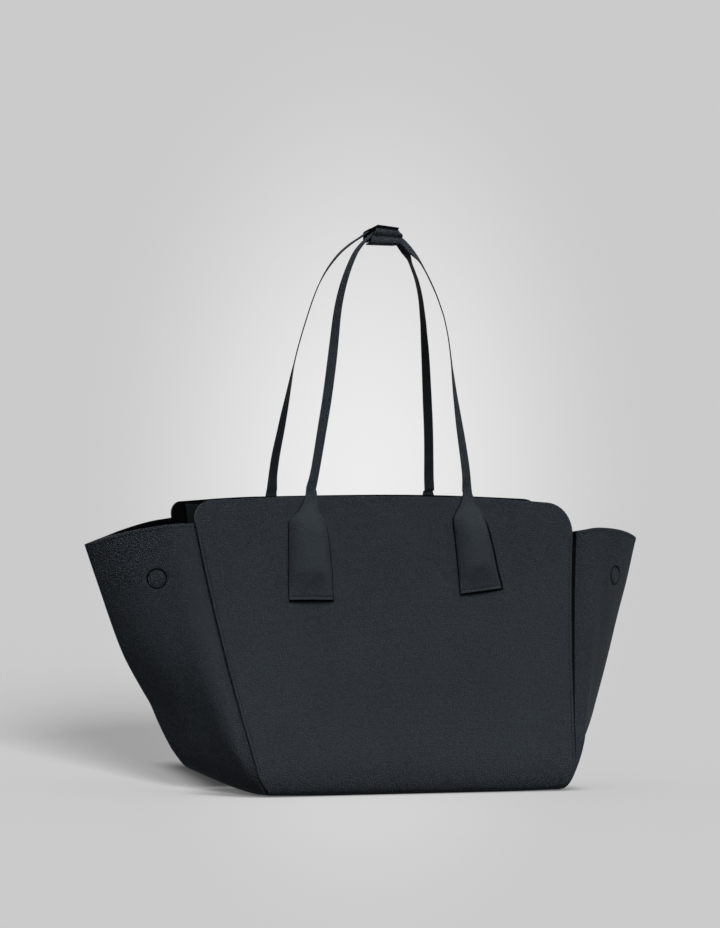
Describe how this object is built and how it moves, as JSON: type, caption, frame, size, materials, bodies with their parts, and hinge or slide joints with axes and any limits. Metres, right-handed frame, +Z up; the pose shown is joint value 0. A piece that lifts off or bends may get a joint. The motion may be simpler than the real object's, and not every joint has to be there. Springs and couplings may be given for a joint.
{
  "type": "tote bag",
  "caption": "Open-topped leather tote with side wings folded outwards, two long strap handles on domed tabs and a keeper that gathers them.",
  "frame": {"origin": "on the floor under the middle of the bag's outer box", "axes": "+Z up, front panel faces -Y, +X to the right seen from the front, wing tip to wing tip along X"},
  "size_m": [0.604, 0.166, 0.5474],
  "materials": {
    "leather": "pebble grain, satin",
    "lining": "smooth, matt",
    "board": "raw fibre board",
    "felt": "pressed felt",
    "steel": "nickel plated"
  },
  "bodies": {
    "bag": {"front_panel": "leather", "back_panel": "leather", "left_gusset": "leather", "right_gusset": "leather", "base_panel": "leather", "base_board": "board", "base_lining": "lining", "front_lining": "lining", "back_lining": "lining", "inner_pocket": "lining", "front_left_tab": "leather", "front_right_tab": "leather", "back_left_tab": "leather", "back_right_tab": "leather", "front_left_tab_filler": "felt", "front_right_tab_filler": "felt", "back_left_tab_filler": "felt", "back_right_tab_filler": "felt", "front_left_tab_patch": "felt", "front_right_tab_patch": "felt", "back_left_tab_patch": "felt", "back_right_tab_patch": "felt", "front_left_wing_magnet": "steel", "front_right_wing_magnet": "steel", "back_left_wing_magnet": "steel", "back_right_wing_magnet": "steel", "front_left_magnet_cover": "leather", "front_right_magnet_cover": "leather", "back_left_magnet_cover": "leather", "back_right_magnet_cover": "leather"},
    "front_strap": {"front_handle": "leather"},
    "back_strap": {"back_handle": "leather", "keeper_band": "leather", "keeper_band_magnet": "steel"},
    "keeper_closure": {"keeper_flap": "leather", "keeper_flap_magnet": "steel"}
  },
  "joints": [
    {"name": "front_handle_swing", "type": "hinge", "parent": "bag", "child": "front_strap", "pos_m": [0, -0.01216, 0.28916], "axis": [1, 0, 0], "range_deg": [0, 150]},
    {"name": "back_handle_swing", "type": "hinge", "parent": "bag", "child": "back_strap", "pos_m": [0, 0.07412, 0.28859], "axis": [-1, 0, 0], "range_deg": [0, 150]},
    {"name": "keeper_flap_open", "type": "hinge", "parent": "back_strap", "child": "keeper_closure", "pos_m": [0, 0.00105, 0.54675], "axis": [-1, 0, 0], "range_deg": [0, 150]}
  ]
}
